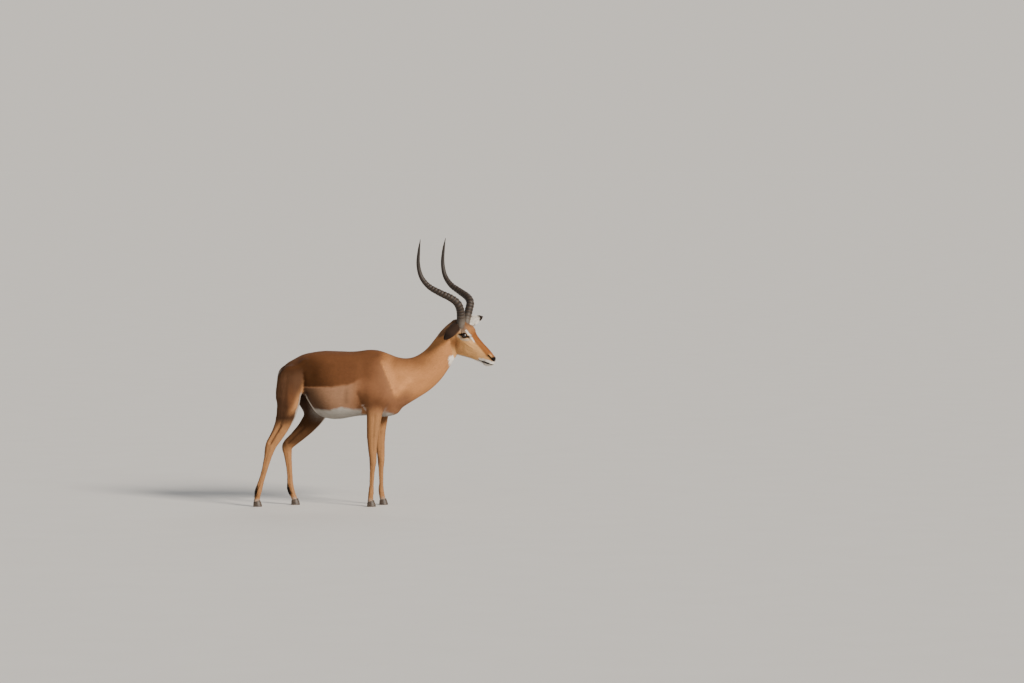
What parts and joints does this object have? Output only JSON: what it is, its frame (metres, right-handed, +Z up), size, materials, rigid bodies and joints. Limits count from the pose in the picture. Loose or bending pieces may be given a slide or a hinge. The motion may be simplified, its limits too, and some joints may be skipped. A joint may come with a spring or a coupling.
{
  "type": "impala antelope",
  "caption": "Standing adult impala ram with lyre-shaped ridged horns, head turned slightly aside, as a still life-size model.",
  "frame": {"origin": "on the floor, under the middle of the whole model's box", "axes": "+X towards the head, +Y to the animal's left, +Z up"},
  "size_m": [1.3938, 0.3934, 1.5363],
  "materials": {
    "coat": "short glossy hair, red-brown saddle, tan flanks and legs, white belly",
    "horn": "dark ridged horn with smooth tips",
    "hoof": "dark horn, slightly worn",
    "eye": "wet, very dark brown"
  },
  "bodies": {
    "root": {"head": "coat", "neck": "coat", "trunk": "coat", "tail": "coat", "ear_left": "coat", "ear_right": "coat", "foreleg_left": "coat", "foreleg_right": "coat", "hindleg_left": "coat", "hindleg_right": "coat", "horn_left": "horn", "horn_right": "horn", "hoof_fore_left_outer": "hoof", "hoof_fore_left_inner": "hoof", "hoof_fore_right_outer": "hoof", "hoof_fore_right_inner": "hoof", "hoof_hind_left_outer": "hoof", "hoof_hind_left_inner": "hoof", "hoof_hind_right_outer": "hoof", "hoof_hind_right_inner": "hoof", "eye_left": "eye", "eye_right": "eye"}
  },
  "joints": []
}
